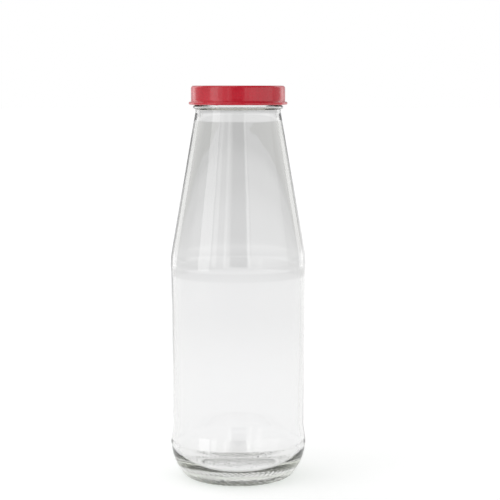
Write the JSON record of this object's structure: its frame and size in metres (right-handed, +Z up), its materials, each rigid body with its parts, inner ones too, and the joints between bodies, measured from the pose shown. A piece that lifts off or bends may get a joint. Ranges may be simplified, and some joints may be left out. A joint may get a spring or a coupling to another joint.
{
  "type": "glass milk bottle with twist-off cap",
  "caption": "Clear wide-neck glass milk bottle, conical above a straight body, with a red twist-off lug cap and its sealing ring.",
  "frame": {"origin": "centre of the base, on the surface that the bottle stands on", "axes": "+Z up the bottle's axis; the first thread's middle lies 7 degrees from +X"},
  "size_m": [0.0714, 0.0714, 0.206],
  "materials": {
    "clear_glass": "clear soda-lime glass, fire polished",
    "sealing_compound": "matt, soft",
    "red_lacquered_tinplate": "gloss stoved lacquer"
  },
  "bodies": {
    "glass": {"bottle": "clear_glass"},
    "seal": {"sealing_ring": "sealing_compound"},
    "cap": {"cap_shell": "red_lacquered_tinplate"}
  },
  "joints": [
    {"name": "cap_lift", "type": "slide", "parent": "glass", "child": "seal", "axis": [0, 0, 1], "range_m": [0, 0.036]},
    {"name": "cap_twist", "type": "hinge", "parent": "seal", "child": "cap", "pos_m": [0, 0, 0.2], "axis": [0, 0, 1], "range_deg": [0, 720]}
  ],
  "couplings": [
    {"joint": "cap_lift", "follows": "cap_twist", "m_per_rad": 0.0027852}
  ]
}
